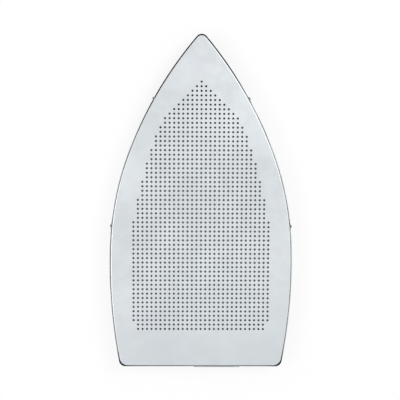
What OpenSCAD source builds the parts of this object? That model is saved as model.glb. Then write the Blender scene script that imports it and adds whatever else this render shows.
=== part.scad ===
/* [Outline] */
// Length over the rim, from the heel to the tip of the nose
cover_l = 235; // [225:1:250]
// Greatest width over the rim
cover_w = 129.4; // [124:0.2:136]
// Height from the turned-in edge to the ironing face
cover_h = 12.5; // [11.5:0.5:16]
// Distance of the widest place from the heel
widest_y = 72.5; // [65:0.5:80]
// Radius of the rim round the tip of the nose
nose_r = 4.5; // [4.4:0.1:7]
// Radius of the rim at the two heel corners
corner_r = 4.4; // [4.4:0.1:8]
// How far the start of the heel corners lies inside the widest place
heel_inset = 10.9; // [10:0.1:13]
// Radius of the tighter bend at the shoulders
shoulder_r = 203; // [190:1:230]
// Distance of the start of the shoulder bend from the heel
shoulder_start_y = 90; // [84:1:100]
// Distance of the end of the shoulder bend from the heel
shoulder_end_y = 151; // [140:1:160]

/* [Rim strip] */
// Thickness of the rolled strip
strip_t = 0.5; // [0.4:0.05:0.5]
// Inside radius of the strip's bends
bend_r = 0.6; // [0.6:0.05:0.65]
// How far the wall stands inside the collar, which makes the seat of the sole
step_w = 2.6; // [2.4:0.1:2.6]
// How far the top of the collar stays below the ironing face
collar_drop = 0.6; // [0.4:0.05:0.7]
// Flat width of the turned-in safety edge
lip_w = 0.6; // [0.4:0.05:0.6]
// Distance of the turned-in edge's mouth from the tip of the nose
mouth_depth = 22; // [18:1:40]
// Radius at the front of that mouth
mouth_r = 9; // [6:0.5:12]

/* [Heel seam] */
// Length of the overlap of the strip's two ends
lap_w = 32.5; // [26:0.5:40]
// Distance of the middle of the overlap from the middle of the heel
lap_x = 11.6; // [0:0.2:14]
// Width of the notch in the collar of the overlap
lap_notch_w = 7.5; // [4:0.5:10]
// Distance of that notch from the middle of the overlap
lap_notch_x = 6; // [0:0.5:8]
// Depth of that notch
lap_notch_d = 0.5; // [0.3:0.1:0.6]
// Diameter of a spot weld's dimple
weld_d = 3.6; // [2.5:0.1:4]
// Depth of a spot weld's dimple
weld_depth = 0.15; // [0.1:0.05:0.2]
// Distance between the two spot welds
weld_span = 22; // [16:0.5:22]

/* [Sole plate] */
// Thickness of the sole plate
sole_t = 1.5; // [1.4:0.1:2]
// Gap between the sole plate and the collar along the sides
sole_gap = 0.3; // [0.25:0.05:0.4]
// Radius of the sole plate at the tip of the nose
sole_nose_r = 4; // [3.7:0.1:7]
// Radius of the sole plate at the heel corners
sole_corner_r = 5.8; // [4:0.1:9]
// Rounding of the edge on the ironing face
face_edge_r = 0.9; // [0.5:0.05:0.9]
// Diameter of the round ends of the four locating tabs
tab_d = 2.6; // [2:0.1:3.4]
// How far the tabs stand out past the collar
tab_proud = 0.8; // [0.4:0.1:1]
// Thickness of the tabs
tab_t = 1; // [0.8:0.1:1.2]
// Play between a tab and its notch in the collar
tab_play = 0.15; // [0.1:0.05:0.3]
// Distance of the rear pair of tabs from the heel
tab_rear_y = 101; // [95:1:125]
// Distance of the front pair of tabs from the heel
tab_front_y = 190.5; // [170:0.5:200]

/* [Steam holes] */
// Diameter of a steam hole
hole_d = 1.5; // [1.2:0.05:1.7]
// Spacing of the holes, along and across
hole_pitch = 3.175; // [3:0.025:4]
// Distance from the tip of the nose to the first hole
first_hole = 33; // [30:0.5:40]
// Least distance from the heel to the last row
last_hole = 27; // [24:0.5:40]
// Half width of the field of holes at its widest
field_half_w = 50.3; // [44:0.1:51]
// Distance from the heel at which the field is widest
field_y = 66; // [60:1:80]
// Radius of the field's edge towards the nose
field_front_r = 270; // [255:1:300]
// Radius of the field's edge towards the heel
field_rear_r = 215; // [190:1:300]

/* [Heel clip] */
// Width of the spring clip
clip_w = 24; // [16:1:28]
// Thickness of the spring clip
clip_t = 0.5; // [0.4:0.05:0.6]
// Gap between the top of the clip and the seat's bend
clip_top_gap = 0.4; // [0.2:0.1:0.8]
// Height of the pad that is welded to the wall
pad_h = 3.6; // [3:0.1:4]
// Slope of the spring tongue, off upright
tongue_a = 34; // [20:1:40]
// Length of the sloping stretch of the tongue
tongue_l = 3.4; // [3:0.1:3.6]
// Slope of the lead-in at the tongue's end, off upright
lead_a = 50; // [30:1:60]
// Length of the lead-in
lead_l = 1.4; // [1:0.1:1.6]
// Radius of the clip's bends, at the middle of its thickness
clip_bend_r = 0.7; // [0.4:0.1:0.9]

/* [Hidden] */
$fn = 32;
half_w = cover_w / 2;
heel_y = -(cover_l - strip_t) / 2; // the seam stands out by one strip, so the whole is centred
seat_z = cover_h - sole_t;
collar_z = max(cover_h - collar_drop, seat_z + bend_r + strip_t / 2 + 0.05); // top of the collar
wall_in = step_w + strip_t; // inner face of the wall, measured in from the outline
lip_in = wall_in + bend_r + lip_w; // inner edge of the safety edge, measured the same way
bend_steps = 4;
stretch_l = 6; // longest straight stretch on the big arcs
stretch_turn = 12; // largest turn between stretches on the small arcs
sink = 0.3; // how far joined sheets of one piece run into each other

// The outline is a chain of arcs that meet smoothly, one side from heel to nose.
// Lengths along it are measured from the heel. An arc is its centre, radius, first and last angle.
rear_r = (heel_inset ^ 2 + (widest_y - corner_r) ^ 2 - corner_r ^ 2) / (2 * (heel_inset - corner_r));
rear_c = [half_w - rear_r, widest_y];
rear_a = asin((shoulder_start_y - widest_y) / rear_r);
shoulder_c = rear_c + (rear_r - shoulder_r) * direction(rear_a);
shoulder_a = asin((shoulder_end_y - shoulder_c.y) / shoulder_r);
front = arc_to_tip(shoulder_c + shoulder_r * direction(shoulder_a), shoulder_a, cover_l - nose_r, nose_r);
rim_line = outline(0, nose_r, corner_r);
sole_line = outline(strip_t + sole_gap, sole_nose_r, sole_corner_r);

function direction(a) = [cos(a), sin(a)];
function unit(v) = v / norm(v);
function left_of(v) = [-v.y, v.x];
function reversed(list) = [for (k = [len(list) - 1:-1:0]) list[k]];

// The arc that leaves a point square to an angle and runs smoothly into a circle on the middle line
function arc_to_tip(point, a, tip_y, tip_r) =
  let (
    v = point - [0, tip_y],
    r = (v * v - tip_r ^ 2) / (2 * (direction(a) * v - tip_r)),
    c = point - r * direction(a)
  ) [c, r, a, atan2(tip_y - c.y, -c.x)];

// Arcs at a distance inside the rim's outline, with their own radii at the nose and the corners
function outline(inset, tip_r, turn_r) =
  let (
    tip_y = front[0].y + sqrt((front[1] - inset - tip_r) ^ 2 - front[0].x ^ 2),
    tip_a = atan2(tip_y - front[0].y, -front[0].x),
    turn_y = inset + turn_r,
    turn_x = rear_c.x + sqrt((rear_r - inset - turn_r) ^ 2 - (rear_c.y - turn_y) ^ 2),
    turn_a = atan2(turn_y - rear_c.y, turn_x - rear_c.x)
  ) [
    [[turn_x, turn_y], turn_r, -90, turn_a],
    [rear_c, rear_r - inset, turn_a, rear_a],
    [shoulder_c, shoulder_r - inset, rear_a, shoulder_a],
    [front[0], front[1] - inset, shoulder_a, tip_a],
    [[0, tip_y], tip_r, tip_a, 90]
  ];

// Stations along arcs, each a point and the direction out of the outline there
function stations(arcs) = [
  for (arc = arcs)
    let (sweep = arc[3] - arc[2], n = ceil(max(arc[1] * sweep * PI / 180 / stretch_l, sweep / stretch_turn)))
      for (k = [0:n - 1])
        let (d = direction(arc[2] + sweep * k / n)) [arc[0] + arc[1] * d, d]
];
function mirrored(list) = [for (s = reversed(list)) [for (v = s) [-v.x, v.y]]];
function tip_of(arcs) = let (arc = arcs[len(arcs) - 1]) [[0, arc[0].y + arc[1]], [0, 1]];
function all_round(arcs) = let (side = stations(arcs)) concat(side, [tip_of(arcs)], mirrored(side));

// Points of a closed outline, moved in from its stations
function moved_in(loop, inset) = [for (s = loop) s[0] - inset * s[1]];

// A path with its inner corners rounded
function rounded(path, r) = [
  for (k = [0:len(path) - 1])
    if (k == 0 || k == len(path) - 1) path[k]
    else
      let (
        p = unit(path[k - 1] - path[k]),
        q = unit(path[k + 1] - path[k]),
        half = acos(p * q) / 2,
        c = path[k] + unit(p + q) * r / sin(half),
        from = atan2(path[k].y + p.y * r / tan(half) - c.y, path[k].x + p.x * r / tan(half) - c.x),
        to = atan2(path[k].y + q.y * r / tan(half) - c.y, path[k].x + q.x * r / tan(half) - c.x),
        turn = (to - from + 540) % 360 - 180
      ) for (j = [0:bend_steps]) c + r * direction(from + turn * j / bend_steps)
];

// A path moved to its left, each stretch by the same distance
function moved_left(path, distance) = [
  for (k = [0:len(path) - 1])
    let (
      a = left_of(unit(path[max(k, 1)] - path[max(k, 1) - 1])),
      b = left_of(unit(path[min(k, len(path) - 2) + 1] - path[min(k, len(path) - 2)]))
    ) path[k] + distance * (a + b) / (1 + a * b)
];

// Outline of a bent sheet between two distances from its path
function ribbon(path, low, high) = concat(moved_left(path, high), reversed(moved_left(path, low)));

// Middle line of the strip: collar, seat, wall and turned-in edge. X is out of the outline, Y is up.
strip_path = rounded([
  [-strip_t / 2, collar_z - strip_t / 2],
  [-strip_t / 2, seat_z - strip_t / 2],
  [strip_t / 2 - wall_in, seat_z - strip_t / 2],
  [strip_t / 2 - wall_in, strip_t / 2],
  [-lip_in, strip_t / 2]
], bend_r + strip_t / 2);

// The rounded top of the collar, one or more strips out
function collar_top(out) =
  [for (a = [135, 90, 45]) strip_path[0] + [out, 0] + strip_t / 2 * direction(a)];

// Half width of the field of holes at a distance from the heel
function field_edge(y) =
  let (r = y > field_y ? field_front_r : field_rear_r)
    field_half_w - r + sqrt(r ^ 2 - (y - field_y) ^ 2);

// Sweeps a closed section round an outline
module swept(loop, section) {
  n = len(loop);
  m = len(section);
  points = [for (s = loop) for (p = section) [s[0].x + p.x * s[1].x, heel_y + s[0].y + p.x * s[1].y, p.y]];
  faces = [
    for (i = [0:n - 1]) for (j = [0:m - 1])
      let (a = i * m, b = (i + 1) % n * m, k = (j + 1) % m)
        each [[a + j, b + j, b + k], [a + j, b + k, a + k]]
  ];
  polyhedron(points, faces);
}

// Runs a section straight along the heel, about a middle
module along_heel(length, middle, section) {
  translate([middle + length / 2, heel_y, 0]) rotate([90, 0, -90]) linear_extrude(length) polygon(section);
}

// A flat sheet with a given outline
module sheet(points, z, thickness) {
  translate([0, heel_y, z]) linear_extrude(thickness) polygon(points);
}

// A pair of round posts at the tabs' places
module tab_pair(y, arc, d, h) {
  reach = arc[1] + tab_proud - tab_d / 2;
  a = asin((y - arc[0].y) / arc[1]);
  for (side = [-1, 1])
    translate([side * (arc[0].x + reach * cos(a)), heel_y + arc[0].y + reach * sin(a), seat_z])
      cylinder(d = d, h = h);
}

module tabs(d, h) {
  tab_pair(tab_rear_y, rim_line[2], d, h);
  tab_pair(tab_front_y, rim_line[3], d, h);
}

module rim_band() {
  color("lightsteelblue") difference() {
    union() {
      swept(all_round(rim_line), concat(ribbon(strip_path, -strip_t / 2, strip_t / 2), collar_top(0)));
      nose_lip();
      seam();
    }
    for (side = [-1, 1])
      translate([lap_x + side * weld_span / 2, heel_y + step_w - strip_t, seat_z / 2])
        rotate([90, 0, 0]) translate([0, 0, -weld_depth]) cylinder(d = weld_d, h = strip_t);
    translate([lap_x + lap_notch_x - lap_notch_w / 2, heel_y - 2 * strip_t, collar_z - lap_notch_d])
      cube([lap_notch_w, 3 * strip_t, cover_h]);
    tabs(tab_d + 2 * tab_play, cover_h);
  }
}

// The strip's second end, laid outside the first
module seam() {
  foot = len(strip_path) - bend_steps - 2;
  path = [for (k = [0:foot - 1]) strip_path[k]];
  upright = concat(path, [[path[foot - 1].x, strip_t + bend_r]]);
  along_heel(lap_w, lap_x, concat(ribbon(upright, strip_t / 2, strip_t * 3 / 2), collar_top(strip_t)));
}

// The turned-in edge widens from the shoulders to the nose, where it holds the iron's tip
module nose_lip() {
  mouth_tip = cover_l - mouth_depth;
  edge = front[0] + (front[1] - lip_in) * direction(shoulder_a);
  mouth = arc_to_tip(edge, shoulder_a, mouth_tip - mouth_r, mouth_r);
  inner = moved_in(stations([mouth, [[0, mouth_tip - mouth_r], mouth_r, mouth[3], 90]]), 0);
  outer = moved_in(stations([rim_line[3]]), lip_in - sink);
  right = concat([[0, mouth_tip]], reversed(inner), outer, [[0, cover_l - lip_in + sink]]);
  left = [for (k = [len(right) - 2:-1:1]) [-right[k].x, right[k].y]];
  sheet(concat(right, left), 0, strip_t);
}

module sole_plate() {
  core = moved_in(all_round(sole_line), face_edge_r + sink);
  rows = floor((cover_l - first_hole - last_hole) / hole_pitch);
  color("aliceblue") difference() {
    union() {
      swept(all_round(sole_line), sole_edge());
      sheet(core, seat_z, sole_t);
      tabs(tab_d, tab_t);
    }
    for (row = [0:rows])
      let (y = cover_l - first_hole - row * hole_pitch, n = min(row, floor(field_edge(y) / hole_pitch)))
        for (k = [-n:n])
          translate([k * hole_pitch, heel_y + y, seat_z - sole_t])
            cylinder(d = hole_d, h = 3 * sole_t, $fn = 16);
  }
}

// Rounded edge of the sole plate, with a little of its flat
function sole_edge() =
  let (low_r = sole_t - face_edge_r, z = seat_z + low_r, in = 2 * face_edge_r)
    concat(
      [[-in, cover_h]],
      [for (k = [0:bend_steps]) [-face_edge_r, z] + face_edge_r * direction(90 - 90 * k / bend_steps)],
      [for (k = [1:bend_steps]) [-low_r, z] + low_r * direction(-90 * k / bend_steps)],
      [[-in, seat_z]]
    );

// A leaf of spring strip inside the heel: pad, sloping tongue and lead-in
module heel_clip() {
  x = -wall_in - clip_t / 2;
  top = seat_z - strip_t - bend_r - clip_top_gap;
  knee = [x, top - pad_h];
  nose = knee - tongue_l * [sin(tongue_a), cos(tongue_a)];
  path = rounded([[x, top], knee, nose, nose + lead_l * [sin(lead_a), -cos(lead_a)]], clip_bend_r);
  color("silver") along_heel(clip_w, lap_x, ribbon(path, -clip_t / 2, clip_t / 2));
}

rim_band();
sole_plate();
heel_clip();
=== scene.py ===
# Iron shoe cover: a perforated sole plate in a folded rim, seen from above on a white table
import math

import bmesh
import bpy
from mathutils import Matrix, Vector


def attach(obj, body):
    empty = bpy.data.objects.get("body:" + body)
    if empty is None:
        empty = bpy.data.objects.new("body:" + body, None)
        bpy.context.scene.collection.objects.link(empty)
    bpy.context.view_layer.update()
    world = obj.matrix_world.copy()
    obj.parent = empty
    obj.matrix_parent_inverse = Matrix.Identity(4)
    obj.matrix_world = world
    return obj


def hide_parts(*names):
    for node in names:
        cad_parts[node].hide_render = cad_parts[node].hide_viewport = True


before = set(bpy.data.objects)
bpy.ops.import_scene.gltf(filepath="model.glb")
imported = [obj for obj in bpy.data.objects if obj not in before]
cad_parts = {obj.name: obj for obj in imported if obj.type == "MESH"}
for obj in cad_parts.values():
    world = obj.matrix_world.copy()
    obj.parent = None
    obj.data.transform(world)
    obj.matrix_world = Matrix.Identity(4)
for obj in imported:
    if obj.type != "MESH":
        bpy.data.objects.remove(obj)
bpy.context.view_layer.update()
mm = 0.001  # settings are in millimetres unless their name says otherwise

# Camera: place, what it looks at, and which way is up in the picture
cameraSettings = {
    "place": (-6.05, 32.27, 474.87),
    "target": (-0.78, 2.24, 12.5),
    "up": (-0.00355, 0.99789, -0.06485),
    "lensMm": 59.28,
    "sensorMm": 36,
    "nearM": 0.01,
    "farM": 20,
}


def makeCamera(s):
    data = bpy.data.cameras.new("camera")
    data.lens = s["lensMm"]
    data.sensor_width = s["sensorMm"]
    data.clip_start = s["nearM"]
    data.clip_end = s["farM"]
    camera = bpy.data.objects.new("camera", data)
    bpy.context.scene.collection.objects.link(camera)
    back = (Vector(s["place"]) - Vector(s["target"])).normalized()
    right = Vector(s["up"]).cross(back).normalized()
    turn = Matrix((right, back.cross(right), back)).transposed()
    camera.matrix_world = Matrix.Translation(Vector(s["place"]) * mm) @ turn.to_4x4()
    bpy.context.scene.camera = camera


makeCamera(cameraSettings)
print("camera set")


# Outline of the cover, one side as a chain of arcs from the heel to the nose
outlineSettings = {
    "length": 235,
    "width": 129.4,
    "widestAt": 72.5,  # distances are from the heel
    "noseRadius": 4.5,
    "cornerRadius": 4.4,
    "heelInset": 10.9,
    "shoulderRadius": 203,
    "shoulderFrom": 90,
    "shoulderTo": 151,
    "heelY": -117.25,
    "longestStep": 3,
    "largestTurn": math.radians(7.5),
}


def towards(angle):
    return Vector((math.cos(angle), math.sin(angle)))


def arcToNose(start, angle, tipY, tipRadius):  # leaves start smoothly and runs into the circle at the tip
    v = start - Vector((0, tipY))
    radius = (v.length_squared - tipRadius**2) / (2 * (towards(angle).dot(v) - tipRadius))
    centre = start - towards(angle) * radius
    return centre, radius, angle, math.atan2(tipY - centre.y, -centre.x)


def sideArcs(o, inset, tipRadius, turnRadius):
    half = o["width"] / 2
    run = o["widestAt"] - o["cornerRadius"]
    rearRadius = o["heelInset"] ** 2 + run**2 - o["cornerRadius"] ** 2
    rearRadius /= 2 * (o["heelInset"] - o["cornerRadius"])
    rear = Vector((half - rearRadius, o["widestAt"]))
    rearEnd = math.asin((o["shoulderFrom"] - o["widestAt"]) / rearRadius)
    shoulder = rear + towards(rearEnd) * (rearRadius - o["shoulderRadius"])
    shoulderEnd = math.asin((o["shoulderTo"] - shoulder.y) / o["shoulderRadius"])
    leave = shoulder + towards(shoulderEnd) * o["shoulderRadius"]
    front = arcToNose(leave, shoulderEnd, o["length"] - o["noseRadius"], o["noseRadius"])
    tipY = front[0].y + math.sqrt((front[1] - inset - tipRadius) ** 2 - front[0].x ** 2)
    tipAngle = math.atan2(tipY - front[0].y, -front[0].x)
    turnY = inset + turnRadius
    turnX = rear.x + math.sqrt((rearRadius - inset - turnRadius) ** 2 - (rear.y - turnY) ** 2)
    turnAngle = math.atan2(turnY - rear.y, turnX - rear.x)
    return [
        (Vector((turnX, turnY)), turnRadius, -math.pi / 2, turnAngle),
        (rear, rearRadius - inset, turnAngle, rearEnd),
        (shoulder, o["shoulderRadius"] - inset, rearEnd, shoulderEnd),
        (front[0], front[1] - inset, shoulderEnd, tipAngle),
        (Vector((0, tipY)), tipRadius, tipAngle, math.pi / 2),
    ]


def closedOutline(o, inset, tipRadius, turnRadius, moveIn=0):  # points right round, against the clock
    side = []
    for centre, radius, first, last in sideArcs(o, inset, tipRadius, turnRadius):
        steps = math.ceil(max(radius * (last - first) / o["longestStep"], (last - first) / o["largestTurn"]))
        for k in range(steps):
            side.append(centre + towards(first + (last - first) * k / steps) * (radius - moveIn))
    tip = centre + Vector((0, radius - moveIn))
    points = side + [tip] + [Vector((-p.x, p.y)) for p in reversed(side)]
    return [Vector((p.x, p.y + o["heelY"], 0)) for p in points]


# Small helpers for the node trees
def addNode(tree, kind, **choices):
    node = tree.nodes.new(kind)
    for name, value in choices.items():
        setattr(node, name, value)
    return node


def feed(tree, target, value):  # value is a number, or the output of another node
    if isinstance(value, bpy.types.NodeSocket):
        tree.links.new(value, target)
    else:
        target.default_value = value


def maths(tree, operation, *values):
    node = addNode(tree, "ShaderNodeMath", operation=operation)
    for target, value in zip(node.inputs, values):
        feed(tree, target, value)
    return node.outputs[0]


# The perforated plate: a flat sheet inside a given outline, with a field of punched holes
soleSettings = {
    "inset": 0.8,  # from the rim's outline to the plate's edge
    "noseRadius": 4,
    "cornerRadius": 5.8,
    "thickness": 1.5,
    "top": 12.5,
    "edgeRounding": 0.9,
    "edgeSteps": 6,
    "holeDiameter": 1.5,
    "holeRounding": 0.1,
    "holeSides": 14,
    "pitch": 3.175,
    "firstRowAt": 202,  # distances from the heel
    "rows": 56,
    "columns": 31,
    "fieldHalfWidth": 50.3,
    "fieldWidestAt": 66,
    "fieldFrontRadius": 270,
    "fieldRearRadius": 215,
    "mergeWithin": 0.01,
}


def perforatedSheetTree(mergeWithin):
    tree = bpy.data.node_groups.new("perforatedSheet", "GeometryNodeTree")
    tree.interface.new_socket("Outline", in_out="INPUT", socket_type="NodeSocketGeometry")
    for name in ("Top", "Thickness", "Hole Diameter", "Hole Rounding", "Pitch", "First Row", "Half Width",
                 "Widest At", "Front Radius", "Rear Radius"):
        tree.interface.new_socket(name, in_out="INPUT", socket_type="NodeSocketFloat")
    for name in ("Rows", "Columns", "Sides"):
        tree.interface.new_socket(name, in_out="INPUT", socket_type="NodeSocketInt")
    for name in ("Sheet", "Punched"):
        tree.interface.new_socket(name, in_out="INPUT", socket_type="NodeSocketMaterial")
    tree.interface.new_socket("Edge Section", in_out="INPUT", socket_type="NodeSocketObject")
    tree.interface.new_socket("Plate", in_out="OUTPUT", socket_type="NodeSocketGeometry")
    given = addNode(tree, "NodeGroupInput").outputs
    result = addNode(tree, "NodeGroupOutput").inputs

    # a grid of points at the holes' places, less those outside the field
    grid = addNode(tree, "GeometryNodeMeshGrid")
    across = maths(tree, "MULTIPLY", maths(tree, "SUBTRACT", given["Columns"], 1), given["Pitch"])
    along = maths(tree, "MULTIPLY", maths(tree, "SUBTRACT", given["Rows"], 1), given["Pitch"])
    feed(tree, grid.inputs["Size X"], across)
    feed(tree, grid.inputs["Size Y"], along)
    feed(tree, grid.inputs["Vertices X"], given["Columns"])
    feed(tree, grid.inputs["Vertices Y"], given["Rows"])
    shift = addNode(tree, "ShaderNodeCombineXYZ")
    middle = maths(tree, "SUBTRACT", given["First Row"], maths(tree, "DIVIDE", along, 2))
    feed(tree, shift.inputs["Y"], middle)
    moved = addNode(tree, "GeometryNodeSetPosition")
    feed(tree, moved.inputs["Geometry"], grid.outputs["Mesh"])
    feed(tree, moved.inputs["Offset"], shift.outputs[0])
    place = addNode(tree, "ShaderNodeSeparateXYZ")
    feed(tree, place.inputs[0], addNode(tree, "GeometryNodeInputPosition").outputs[0])
    column = maths(tree, "DIVIDE", maths(tree, "ABSOLUTE", place.outputs["X"]), given["Pitch"])
    row = maths(tree, "DIVIDE", maths(tree, "SUBTRACT", given["First Row"], place.outputs["Y"]), given["Pitch"])
    ahead = maths(tree, "SUBTRACT", place.outputs["Y"], given["Widest At"])
    radius = addNode(tree, "GeometryNodeSwitch", input_type="FLOAT")
    feed(tree, radius.inputs["Switch"], maths(tree, "GREATER_THAN", ahead, 0.0))
    feed(tree, radius.inputs["False"], given["Rear Radius"])
    feed(tree, radius.inputs["True"], given["Front Radius"])
    bend = radius.outputs[0]
    drop = maths(tree, "SQRT", maths(tree, "SUBTRACT", maths(tree, "MULTIPLY", bend, bend),
                                     maths(tree, "MULTIPLY", ahead, ahead)))
    edge = maths(tree, "ADD", maths(tree, "SUBTRACT", given["Half Width"], bend), drop)
    most = maths(tree, "MINIMUM", row, maths(tree, "FLOOR", maths(tree, "DIVIDE", edge, given["Pitch"])))
    field = addNode(tree, "GeometryNodeDeleteGeometry", domain="POINT")
    feed(tree, field.inputs["Geometry"], moved.outputs[0])
    feed(tree, field.inputs["Selection"], maths(tree, "GREATER_THAN", column, maths(tree, "ADD", most, 0.5)))
    places = field.outputs[0]

    def onPlaces(geometry):
        spread = addNode(tree, "GeometryNodeInstanceOnPoints")
        feed(tree, spread.inputs["Points"], places)
        feed(tree, spread.inputs["Instance"], geometry)
        real = addNode(tree, "GeometryNodeRealizeInstances")
        feed(tree, real.inputs[0], spread.outputs[0])
        return real.outputs[0]

    def joined(*parts):
        join = addNode(tree, "GeometryNodeJoinGeometry")
        for part in parts:
            tree.links.new(part, join.inputs[0])
        return join.outputs[0]

    def lifted(geometry, height):
        move = addNode(tree, "GeometryNodeTransform")
        offset = addNode(tree, "ShaderNodeCombineXYZ")
        feed(tree, offset.inputs["Z"], height)
        feed(tree, move.inputs["Geometry"], geometry)
        feed(tree, move.inputs["Translation"], offset.outputs[0])
        return move.outputs[0]

    def flipped(geometry):
        flip = addNode(tree, "GeometryNodeFlipFaces")
        feed(tree, flip.inputs[0], geometry)
        return flip.outputs[0]

    loop = addNode(tree, "GeometryNodeMeshToCurve")
    feed(tree, loop.inputs[0], given["Outline"])
    holeRadius = maths(tree, "DIVIDE", given["Hole Diameter"], 2)
    mouthRadius = maths(tree, "ADD", holeRadius, given["Hole Rounding"])

    def pierced(radiusValue):  # the flat inside the outline, with a round opening at every place
        circle = addNode(tree, "GeometryNodeCurvePrimitiveCircle")
        feed(tree, circle.inputs["Resolution"], given["Sides"])
        feed(tree, circle.inputs["Radius"], radiusValue)
        fill = addNode(tree, "GeometryNodeFillCurve")
        feed(tree, fill.inputs[0], joined(loop.outputs[0], onPlaces(circle.outputs[0])))
        return fill.outputs[0]

    topFace = lifted(pierced(mouthRadius), given["Top"])
    underside = maths(tree, "SUBTRACT", given["Top"], given["Thickness"])
    bottomFace = lifted(flipped(pierced(holeRadius)), underside)

    # the wall of one hole: its mouth rounded in two steps, then straight down
    def ring(lowRadius, highRadius, low, high):
        cone = addNode(tree, "GeometryNodeMeshCone", fill_type="NONE")
        feed(tree, cone.inputs["Vertices"], given["Sides"])
        feed(tree, cone.inputs["Radius Bottom"], lowRadius)
        feed(tree, cone.inputs["Radius Top"], highRadius)
        feed(tree, cone.inputs["Depth"], maths(tree, "SUBTRACT", high, low))
        return lifted(cone.outputs[0], low)

    quarter = math.sqrt(0.5)
    bulge = maths(tree, "MULTIPLY", given["Hole Rounding"], 1 - quarter)
    midRadius = maths(tree, "ADD", holeRadius, bulge)
    midHeight = maths(tree, "SUBTRACT", given["Top"], bulge)
    lowHeight = maths(tree, "SUBTRACT", given["Top"], given["Hole Rounding"])
    wall = joined(ring(holeRadius, holeRadius, underside, lowHeight),
                  ring(holeRadius, midRadius, lowHeight, midHeight),
                  ring(midRadius, mouthRadius, midHeight, given["Top"]))
    walls = onPlaces(flipped(wall))

    # the rounded edge runs round the outline
    section = addNode(tree, "GeometryNodeObjectInfo", transform_space="ORIGINAL")
    feed(tree, section.inputs["Object"], given["Edge Section"])
    profile = addNode(tree, "GeometryNodeMeshToCurve")
    feed(tree, profile.inputs[0], section.outputs["Geometry"])
    upright = addNode(tree, "GeometryNodeSetCurveNormal", mode="Z_UP")
    feed(tree, upright.inputs["Curve"], loop.outputs[0])
    sweep = addNode(tree, "GeometryNodeCurveToMesh")
    feed(tree, sweep.inputs["Curve"], upright.outputs[0])
    feed(tree, sweep.inputs["Profile Curve"], profile.outputs[0])
    rounded = lifted(sweep.outputs[0], given["Top"])

    def finished(geometry, material, smooth):
        paint = addNode(tree, "GeometryNodeSetMaterial")
        feed(tree, paint.inputs["Geometry"], geometry)
        feed(tree, paint.inputs["Material"], material)
        shade = addNode(tree, "GeometryNodeSetShadeSmooth")
        feed(tree, shade.inputs["Geometry"], paint.outputs[0])
        shade.inputs["Shade Smooth"].default_value = smooth
        return shade.outputs[0]

    merge = addNode(tree, "GeometryNodeMergeByDistance")
    feed(tree, merge.inputs["Geometry"], joined(
        finished(joined(topFace, bottomFace), given["Sheet"], False), finished(rounded, given["Sheet"], True),
        finished(walls, given["Punched"], True)))
    merge.inputs["Distance"].default_value = mergeWithin
    feed(tree, result["Plate"], merge.outputs[0])
    return tree


def wireObject(name, points, closed):  # bare edges, as the path or section of a tree
    mesh = bpy.data.meshes.new(name)
    edges = [(k, k + 1) for k in range(len(points) - 1)] + ([(len(points) - 1, 0)] if closed else [])
    mesh.from_pydata([Vector(p) * mm for p in points], edges, [])
    made = bpy.data.objects.new(name, mesh)
    bpy.context.scene.collection.objects.link(made)
    return made


def applyTree(made, tree, **values):  # runs the tree on the object and keeps the result as its plain mesh
    modifier = made.modifiers.new("tree", "NODES")
    modifier.node_group = tree
    keys = {item.name: item.identifier for item in tree.interface.items_tree if item.in_out == "INPUT"}
    for name, value in values.items():
        modifier[keys[name]] = value
    bpy.context.view_layer.update()
    solved = made.evaluated_get(bpy.context.evaluated_depsgraph_get())
    mesh = bpy.data.meshes.new_from_object(solved)
    mesh.name = made.name
    made.modifiers.clear()
    made.data = mesh


def makeSole(s, o, sheet, punched):
    boundary = closedOutline(o, s["inset"], s["noseRadius"], s["cornerRadius"], s["edgeRounding"])
    top, low = s["edgeRounding"], s["thickness"] - s["edgeRounding"]
    quarter = math.pi / 2
    section = [(0, 0, 0)]
    for k in range(1, s["edgeSteps"] + 1):
        a = quarter * k / s["edgeSteps"]
        section.append((top * math.sin(a), top * (1 - math.cos(a)), 0))
    for k in range(1, s["edgeSteps"] + 1):
        a = quarter * k / s["edgeSteps"]
        section.append((top - low * (1 - math.cos(a)), top + low * math.sin(a), 0))
    section.append((0, s["thickness"], 0))
    profile = wireObject("soleEdgeSection", section, False)
    sole = wireObject("solePlate", boundary, True)
    applyTree(sole, perforatedSheetTree(s["mergeWithin"] * mm), **{
        "Top": s["top"] * mm,
        "Thickness": s["thickness"] * mm,
        "Hole Diameter": s["holeDiameter"] * mm,
        "Hole Rounding": s["holeRounding"] * mm,
        "Pitch": s["pitch"] * mm,
        "First Row": (s["firstRowAt"] + o["heelY"]) * mm,
        "Half Width": s["fieldHalfWidth"] * mm,
        "Widest At": (s["fieldWidestAt"] + o["heelY"]) * mm,
        "Front Radius": s["fieldFrontRadius"] * mm,
        "Rear Radius": s["fieldRearRadius"] * mm,
        "Rows": s["rows"],
        "Columns": s["columns"],
        "Sides": s["holeSides"],
        "Sheet": sheet,
        "Punched": punched,
        "Edge Section": profile,
    })
    bpy.data.objects.remove(profile)
    return sole


def dropEmptySlots(mesh):
    used = [m for m in mesh.materials if m]
    indices = [used.index(m) if m else 0 for m in mesh.materials]
    faceSlots = [0] * len(mesh.polygons)
    mesh.polygons.foreach_get("material_index", faceSlots)
    mesh.materials.clear()
    for material in used:
        mesh.materials.append(material)
    mesh.polygons.foreach_set("material_index", [indices[k] for k in faceSlots])


# The four small tabs of the plate that lie in notches of the rim
tabSettings = {
    "diameter": 2.6,
    "proud": 0.8,
    "thickness": 1,
    "rounding": 0.25,
    "rearAt": 101,
    "frontAt": 190.5,
    "sides": 28,
    "roundingSteps": 4,
}


def tabPlaces(t, o):
    arcs = sideArcs(o, 0, o["noseRadius"], o["cornerRadius"])
    for y, (centre, radius, _, _) in ((t["rearAt"], arcs[2]), (t["frontAt"], arcs[3])):
        reach = radius + t["proud"] - t["diameter"] / 2
        angle = math.asin((y - centre.y) / radius)
        place = centre + towards(angle) * reach
        for side in (-1, 1):
            yield Vector((side * place.x, place.y + o["heelY"]))


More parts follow.
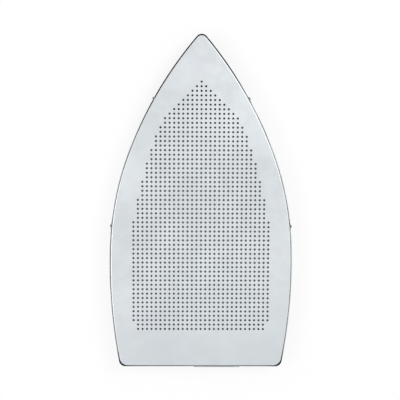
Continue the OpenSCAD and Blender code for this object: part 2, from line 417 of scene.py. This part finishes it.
def addTabs(mesh, t, o, seat):
    radius, r = t["diameter"] / 2, t["rounding"]
    profile = [(0, 0), (radius, 0)]
    for k in range(t["roundingSteps"] + 1):
        a = math.pi / 2 * k / t["roundingSteps"]
        profile.append((radius - r * (1 - math.cos(a)), t["thickness"] - r * (1 - math.sin(a))))
    profile.append((0, t["thickness"]))
    work = bmesh.new()
    work.from_mesh(mesh)
    for place in tabPlaces(t, o):
        rings = []
        for distance, height in profile:
            count = t["sides"] if distance else 1
            rings.append([work.verts.new((
                (place.x + distance * math.cos(math.tau * k / count)) * mm,
                (place.y + distance * math.sin(math.tau * k / count)) * mm,
                (seat + height) * mm)) for k in range(count)])
        for low, high in zip(rings, rings[1:]):
            for k in range(t["sides"]):
                n = (k + 1) % t["sides"]
                if len(low) == 1:
                    corners = (low[0], high[n], high[k])
                elif len(high) == 1:
                    corners = (low[k], low[n], high[0])
                else:
                    corners = (low[k], low[n], high[n], high[k])
                work.faces.new(corners).smooth = len(low) > 1 and len(high) > 1
    work.to_mesh(mesh)
    work.free()


# A cleaned copy of a CAD node: joined up, with smooth bends and flat flats
copySettings = {
    "joinWithin": 0.0005,
    "sharpFrom": math.radians(35),
}


def smoothCopy(node, name, material):
    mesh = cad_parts[node].data.copy()
    mesh.name = name
    work = bmesh.new()
    work.from_mesh(mesh)
    bmesh.ops.remove_doubles(work, verts=work.verts, dist=copySettings["joinWithin"] * mm)
    work.to_mesh(mesh)
    work.free()
    mesh.materials.clear()
    mesh.materials.append(material)
    mesh.shade_smooth()
    mesh.set_sharp_from_angle(angle=copySettings["sharpFrom"])
    made = bpy.data.objects.new(name, mesh)
    bpy.context.scene.collection.objects.link(made)
    weighted = made.modifiers.new("weighted", "WEIGHTED_NORMAL")
    weighted.keep_sharp = True
    bpy.context.view_layer.update()
    made.data = bpy.data.meshes.new_from_object(made.evaluated_get(bpy.context.evaluated_depsgraph_get()))
    made.modifiers.clear()
    return made


# Finishes. Every pattern is in object space, so it stays on the piece.
def newMaterial(name, **sockets):
    material = bpy.data.materials.new(name)
    material.use_nodes = True
    shader = material.node_tree.nodes["Principled BSDF"]
    for key, value in sockets.items():
        shader.inputs[key].default_value = value
    return material, material.node_tree, shader


def objectPlace(tree):  # metres on the piece
    return addNode(tree, "ShaderNodeTexCoord").outputs["Object"]


def noise(tree, place, perMetre, detail=2.0, roughness=0.5, distortion=0.0, stretch=(1, 1, 1)):
    mapping = addNode(tree, "ShaderNodeMapping")
    mapping.inputs["Scale"].default_value = stretch
    feed(tree, mapping.inputs["Vector"], place)
    texture = addNode(tree, "ShaderNodeTexNoise")
    feed(tree, texture.inputs["Vector"], mapping.outputs[0])
    texture.inputs["Scale"].default_value = perMetre
    texture.inputs["Detail"].default_value = detail
    texture.inputs["Roughness"].default_value = roughness
    texture.inputs["Distortion"].default_value = distortion
    return texture.outputs["Fac"]


def ranged(tree, value, low, high, outLow=0.0, outHigh=1.0):  # smooth step from low to high
    node = addNode(tree, "ShaderNodeMapRange", interpolation_type="SMOOTHSTEP")
    feed(tree, node.inputs["Value"], value)
    for key, number in (("From Min", low), ("From Max", high), ("To Min", outLow), ("To Max", outHigh)):
        node.inputs[key].default_value = number
    return node.outputs["Result"]


def mixed(tree, factor, first, second):
    node = addNode(tree, "ShaderNodeMix", data_type="RGBA")
    feed(tree, node.inputs["Factor"], factor)
    for socket, value in ((node.inputs[6], first), (node.inputs[7], second)):
        if isinstance(value, tuple):
            value = (*value, 1)
        feed(tree, socket, value)
    return node.outputs[2]


def bumped(tree, shader, height, strength, distance):
    node = addNode(tree, "ShaderNodeBump")
    node.inputs["Strength"].default_value = strength
    node.inputs["Distance"].default_value = distance
    feed(tree, node.inputs["Height"], height)
    feed(tree, shader.inputs["Normal"], node.outputs[0])


def nearby(tree, place, centre, reach):  # 1 at centre, fading to 0 at reach, in millimetres
    gap = addNode(tree, "ShaderNodeVectorMath", operation="DISTANCE")
    feed(tree, gap.inputs[0], place)
    gap.inputs[1].default_value = [c * mm for c in centre]
    return ranged(tree, gap.outputs["Value"], 0, reach * mm, 1.0, 0.0)


def coordinate(tree, place, axis):
    parts = addNode(tree, "ShaderNodeSeparateXYZ")
    feed(tree, parts.inputs[0], place)
    return parts.outputs[axis]


soleFinish = {
    "paleTone": (0.745, 0.78, 0.805),
    "deepTone": (0.675, 0.715, 0.74),
    "lavender": (0.66, 0.665, 0.78),
    "teal": (0.66, 0.74, 0.75),
    # painted highlight: the near-white tone below is put on the rounded edge under the face
    "edgeHighlight": (0.88, 0.9, 0.91),
    "metallic": 0.55,
    "roughness": (0.34, 0.5),
    "cloudsPerMetre": 13,
    "patchesPerMetre": 34,
    "greensPerMetre": 9,
    "mostGreen": 0.4,
    "smudgesPerMetre": 70,
    "noseTint": {"centre": (-2, 104, 12.5), "reach": 24, "strength": 0.55},
    "heelTint": {"centre": (-42, -98, 12.5), "reach": 38, "strength": 0.5},
    "highlightFrom": 12.1,  # heights between which the painted highlight of the rounded edge gives way to the face's tone
    "highlightTo": 12.47,
    "grainPerMetre": 2600,
    "grainStrength": 0.12,
    "grainDepth": 0.02,
}


def soleMaterial(f):
    material, tree, shader = newMaterial("satinPlate", Metallic=f["metallic"])
    place = objectPlace(tree)

    def tint(spot):
        return maths(tree, "MULTIPLY", nearby(tree, place, spot["centre"], spot["reach"]), spot["strength"])

    clouds = noise(tree, place, f["cloudsPerMetre"], detail=3, distortion=0.4)
    colour = mixed(tree, ranged(tree, clouds, 0.32, 0.68), f["deepTone"], f["paleTone"])
    tinted = maths(tree, "MAXIMUM", tint(f["noseTint"]), tint(f["heelTint"]))
    patches = ranged(tree, noise(tree, place, f["patchesPerMetre"], distortion=0.6), 0.4, 0.62)
    colour = mixed(tree, maths(tree, "MULTIPLY", tinted, patches), colour, f["lavender"])
    greens = noise(tree, place, f["greensPerMetre"], detail=1, stretch=(1, 0.6, 1))
    colour = mixed(tree, ranged(tree, greens, 0.5, 0.75, 0.0, f["mostGreen"]), colour, f["teal"])
    # painted highlight: below the face the rounded edge is coloured near-white
    highlightOnEdge = ranged(tree, coordinate(tree, place, "Z"), f["highlightFrom"] * mm, f["highlightTo"] * mm, 1.0, 0.0)
    feed(tree, shader.inputs["Base Color"], mixed(tree, highlightOnEdge, colour, f["edgeHighlight"]))
    smudges = noise(tree, place, f["smudgesPerMetre"], detail=4, roughness=0.6, distortion=1.2)
    feed(tree, shader.inputs["Roughness"], ranged(tree, smudges, 0.3, 0.7, *f["roughness"]))
    grain = noise(tree, place, f["grainPerMetre"], stretch=(1, 0.12, 1))
    bumped(tree, shader, grain, f["grainStrength"], f["grainDepth"] * mm)
    return material


punchedFinish = {
    # painted shade inside the holes: the walls take the two dark tones below, and the mouth a lighter one
    "wallShadeTone": (0.16, 0.165, 0.17),
    "paleTone": (0.26, 0.27, 0.28),
    "mouthTone": (0.6, 0.63, 0.65),
    "mouthFrom": 12.3,  # heights between which the painted shade of the wall turns into the mouth's tone
    "mouthTo": 12.46,
    "metallic": 0.6,
    "roughness": 0.55,
    "specksPerMetre": 900,
}


def punchedMaterial(f):
    material, tree, shader = newMaterial("punchedWall", Metallic=f["metallic"], Roughness=f["roughness"])
    place = objectPlace(tree)
    # painted shade: the walls of the holes are coloured dark, mottled between two tones, and lighten towards
    # the mouth
    colour = mixed(tree, noise(tree, place, f["specksPerMetre"]), f["wallShadeTone"], f["paleTone"])
    mouth = ranged(tree, coordinate(tree, place, "Z"), f["mouthFrom"] * mm, f["mouthTo"] * mm)
    feed(tree, shader.inputs["Base Color"], mixed(tree, mouth, colour, f["mouthTone"]))
    return material


rimFinish = {
    "bright": (0.6, 0.62, 0.63),
    "dull": (0.4, 0.415, 0.42),
    # the near-black below is painted shade, laid on the rim at the nose and both rear corners
    "paintedShade": (0.03, 0.032, 0.036),
    "roughness": (0.28, 0.46),
    "cloudsPerMetre": 40,
    "wearPerMetre": 120,
    "noseDarkFrom": 62,  # the painted shade at the nose grows from here to there
    "noseDarkTo": 98,
    "leftLead": 20,  # and starts so much sooner on the left side
    "sideBlend": 2,
    "leftCorner": {"centre": (-56, -113, 12), "reach": 13},
    "rightCorner": {"centre": (56, -113, 12), "reach": 16},
    "grainPerMetre": 3000,
    "grainStrength": 0.15,
    "grainDepth": 0.02,
}


def rimMaterial(f):
    material, tree, shader = newMaterial("rolledStrip", Metallic=1.0)
    place = objectPlace(tree)

    def paintedShadeAt(corner):
        return nearby(tree, place, corner["centre"], corner["reach"])

    clouds = noise(tree, place, f["cloudsPerMetre"], detail=3, roughness=0.6)
    colour = mixed(tree, ranged(tree, clouds, 0.35, 0.65), f["dull"], f["bright"])
    blend = f["sideBlend"] * mm
    onLeft = ranged(tree, coordinate(tree, place, "X"), -blend, blend, 1.0, 0.0)
    lead = maths(tree, "MULTIPLY", onLeft, f["leftLead"] * mm)
    reach = maths(tree, "ADD", coordinate(tree, place, "Y"), lead)
    nose = ranged(tree, reach, f["noseDarkFrom"] * mm, f["noseDarkTo"] * mm)
    corners = maths(tree, "MAXIMUM", paintedShadeAt(f["leftCorner"]), paintedShadeAt(f["rightCorner"]))
    # painted shade: the rim turns near-black towards the nose and around both rear corners, where its bend and
    # the gap lie dark
    colour = mixed(tree, maths(tree, "MAXIMUM", nose, corners), colour, f["paintedShade"])
    feed(tree, shader.inputs["Base Color"], colour)
    wear = noise(tree, place, f["wearPerMetre"], detail=3, roughness=0.6)
    feed(tree, shader.inputs["Roughness"], ranged(tree, wear, 0.3, 0.7, *f["roughness"]))
    grain = noise(tree, place, f["grainPerMetre"], stretch=(1, 1, 0.08))
    bumped(tree, shader, grain, f["grainStrength"], f["grainDepth"] * mm)
    return material


clipFinish = {
    "dull": (0.42, 0.43, 0.44),
    "bright": (0.56, 0.57, 0.58),
    "roughness": (0.25, 0.4),
    "cloudsPerMetre": 160,
    "wearPerMetre": 300,
    "grainPerMetre": 2500,
    "grainStrength": 0.15,
    "grainDepth": 0.02,
}


def clipMaterial(f):
    material, tree, shader = newMaterial("springStrip", Metallic=1.0)
    place = objectPlace(tree)
    clouds = noise(tree, place, f["cloudsPerMetre"], detail=3)
    feed(tree, shader.inputs["Base Color"], mixed(tree, clouds, f["dull"], f["bright"]))
    wear = noise(tree, place, f["wearPerMetre"])
    feed(tree, shader.inputs["Roughness"], ranged(tree, wear, 0.3, 0.7, *f["roughness"]))
    grain = noise(tree, place, f["grainPerMetre"], stretch=(0.08, 1, 1))
    bumped(tree, shader, grain, f["grainStrength"], f["grainDepth"] * mm)
    return material


sole = makeSole(soleSettings, outlineSettings, soleMaterial(soleFinish), punchedMaterial(punchedFinish))
dropEmptySlots(sole.data)
addTabs(sole.data, tabSettings, outlineSettings, soleSettings["top"] - soleSettings["thickness"])
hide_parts("sole_plate")
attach(sole, "root")
print("sole plate made, faces:", len(sole.data.polygons))

rim = smoothCopy("rim_band", "rimStrip", rimMaterial(rimFinish))
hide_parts("rim_band")
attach(rim, "root")
clip = smoothCopy("heel_clip", "heelSpring", clipMaterial(clipFinish))
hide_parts("heel_clip")
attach(clip, "root")
print("rim and clip finished")

# Table: a white floor, and a plain sheet of it inside the rim that takes the light that falls through the holes
floorSettings = {
    "size": 4000,
    "drop": 0.05,
    "underInset": 3.2,
    "tone": (0.93, 0.93, 0.93),
    "roughness": 0.8,
    "ownWhite": 0.8,  # share of plain white that the camera and reflections see
}


def floorMaterial(s, whiteToCamera):
    name = "whiteTable" if whiteToCamera else "tableUnderCover"
    material, tree, shader = newMaterial(name, Roughness=s["roughness"])
    shader.inputs["Base Color"].default_value = (*s["tone"], 1)
    output = tree.nodes["Material Output"]
    if whiteToCamera:
        light = addNode(tree, "ShaderNodeEmission")
        path = addNode(tree, "ShaderNodeLightPath")
        seen = maths(tree, "MAXIMUM", path.outputs["Is Camera Ray"], path.outputs["Is Glossy Ray"])
        blend = addNode(tree, "ShaderNodeMixShader")
        feed(tree, blend.inputs["Fac"], maths(tree, "MULTIPLY", seen, s["ownWhite"]))
        tree.links.new(shader.outputs[0], blend.inputs[1])
        tree.links.new(light.outputs[0], blend.inputs[2])
        tree.links.new(blend.outputs[0], output.inputs["Surface"])
    return material


def makeFloor(s, o):
    half = s["size"] / 2
    square = [(-half, -half), (half, -half), (half, half), (-half, half)]
    under = closedOutline(o, 0, o["noseRadius"], o["cornerRadius"], s["underInset"])
    sheets = (("table", square, 2 * s["drop"], True), ("tableInside", under, s["drop"], False))
    for name, points, drop, white in sheets:
        mesh = bpy.data.meshes.new(name)
        mesh.from_pydata([(p[0] * mm, p[1] * mm, -drop * mm) for p in points], [], [range(len(points))])
        mesh.materials.append(floorMaterial(s, white))
        made = bpy.data.objects.new(name, mesh)
        bpy.context.scene.collection.objects.link(made)


makeFloor(floorSettings, outlineSettings)

# Light: an even white room and two soft lamps
lightSettings = {
    "roomStrength": 0.75,
    "lamps": [  # name, place, size and watts
        ("rightLamp", (520, 320, 620), 420, 2.26),
        ("leftLamp", (-600, -120, 560), 420, 1.58),
    ],
}


def makeLights(s):
    world = bpy.data.worlds.new("room")
    world.use_nodes = True
    tree = world.node_tree
    room = tree.nodes["Background"]
    room.inputs["Color"].default_value = (1, 1, 1, 1)
    room.inputs["Strength"].default_value = s["roomStrength"]
    path = addNode(tree, "ShaderNodeLightPath")
    white = addNode(tree, "ShaderNodeBackground")
    blend = addNode(tree, "ShaderNodeMixShader")
    tree.links.new(path.outputs["Is Camera Ray"], blend.inputs["Fac"])
    tree.links.new(room.outputs[0], blend.inputs[1])
    tree.links.new(white.outputs[0], blend.inputs[2])
    tree.links.new(blend.outputs[0], tree.nodes["World Output"].inputs["Surface"])
    white.inputs["Color"].default_value = (1, 1, 1, 1)
    bpy.context.scene.world = world
    for name, place, size, watts in s["lamps"]:
        data = bpy.data.lights.new(name, "AREA")
        data.shape = "DISK"
        data.size = size * mm
        data.energy = watts
        lamp = bpy.data.objects.new(name, data)
        lamp.location = Vector(place) * mm
        lamp.rotation_mode = "QUATERNION"
        lamp.rotation_quaternion = (-Vector(place)).to_track_quat("-Z", "Y")
        bpy.context.scene.collection.objects.link(lamp)


makeLights(lightSettings)
bpy.context.scene.view_settings.view_transform = "Standard"
print("table and lights set")
